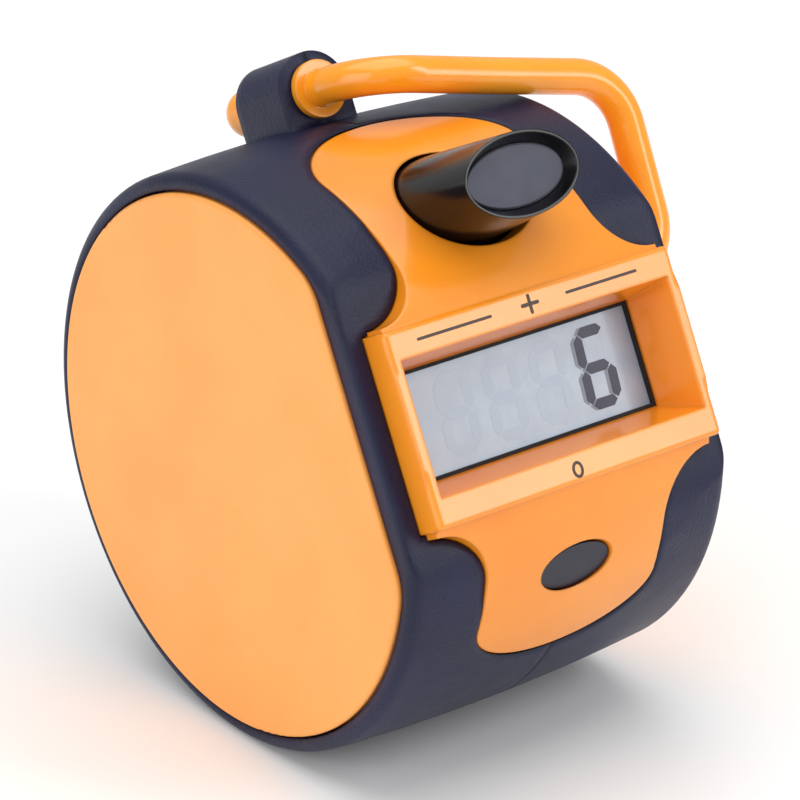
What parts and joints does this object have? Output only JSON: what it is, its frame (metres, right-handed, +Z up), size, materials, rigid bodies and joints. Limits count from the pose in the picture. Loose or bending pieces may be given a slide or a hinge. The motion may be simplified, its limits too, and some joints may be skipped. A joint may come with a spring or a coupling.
{
  "type": "hand tally counter",
  "caption": "Drum-shaped electronic hand tally counter with a tilted display, a count button, a reset button and a pivoted finger ring.",
  "frame": {"origin": "centre of the foot flat under the drum, on the seam between the two half shells", "axes": "+Z up, -Y the way the display faces (it leans back 27.2 degrees), +X along the drum's axis to the reader's right"},
  "size_m": [0.0386, 0.0453, 0.0491],
  "materials": {
    "black_abs": "fine spark-eroded texture",
    "orange_abs_satin": "satin moulded",
    "orange_abs_gloss": "polished moulded",
    "black_foam": "closed-cell foam",
    "lcd_glass": "polarising film on glass",
    "silicone": "soft",
    "green_fr4": "solder mask",
    "black_resin": "cured epoxy",
    "switch_plastic": "moulded",
    "button_abs": "satin moulded",
    "cell_steel": "plated",
    "contact_nickel": "nickel plated spring steel",
    "lead_pvc": "extruded",
    "screw_steel": "zinc plated"
  },
  "bodies": {
    "case": {"left_shell": "black_abs", "right_shell": "black_abs", "left_side_cover": "orange_abs_satin", "right_side_cover": "orange_abs_satin", "front_panel": "orange_abs_gloss", "display_gasket": "black_foam", "lcd_panel": "lcd_glass", "upper_contact_strip": "silicone", "lower_contact_strip": "silicone", "circuit_board": "green_fr4", "controller_chip": "black_resin", "count_switch": "switch_plastic", "reset_switch": "switch_plastic", "battery_cell": "cell_steel", "battery_contact_positive": "contact_nickel", "battery_contact_negative": "contact_nickel", "battery_leads": "lead_pvc", "case_screws": "screw_steel", "board_screws": "screw_steel"},
    "count_button": {"count_button": "button_abs", "count_switch_plunger": "switch_plastic"},
    "reset_button": {"reset_button": "button_abs", "reset_switch_plunger": "switch_plastic"},
    "finger_ring": {"finger_ring": "orange_abs_gloss"}
  },
  "joints": [
    {"name": "count_button_press", "type": "slide", "parent": "case", "child": "count_button", "axis": [0, 0.8894, -0.4571], "range_m": [0, 0.0006], "stiffness_N_per_m": 1500},
    {"name": "reset_button_press", "type": "slide", "parent": "case", "child": "reset_button", "axis": [0, 0.8894, -0.4571], "range_m": [0, 0.0004], "stiffness_N_per_m": 1500},
    {"name": "finger_ring_turn", "type": "hinge", "parent": "case", "child": "finger_ring", "pos_m": [0, 0.01134, 0.04396], "axis": [0, -0.8894, 0.4571], "range_deg": [0, 180]}
  ]
}
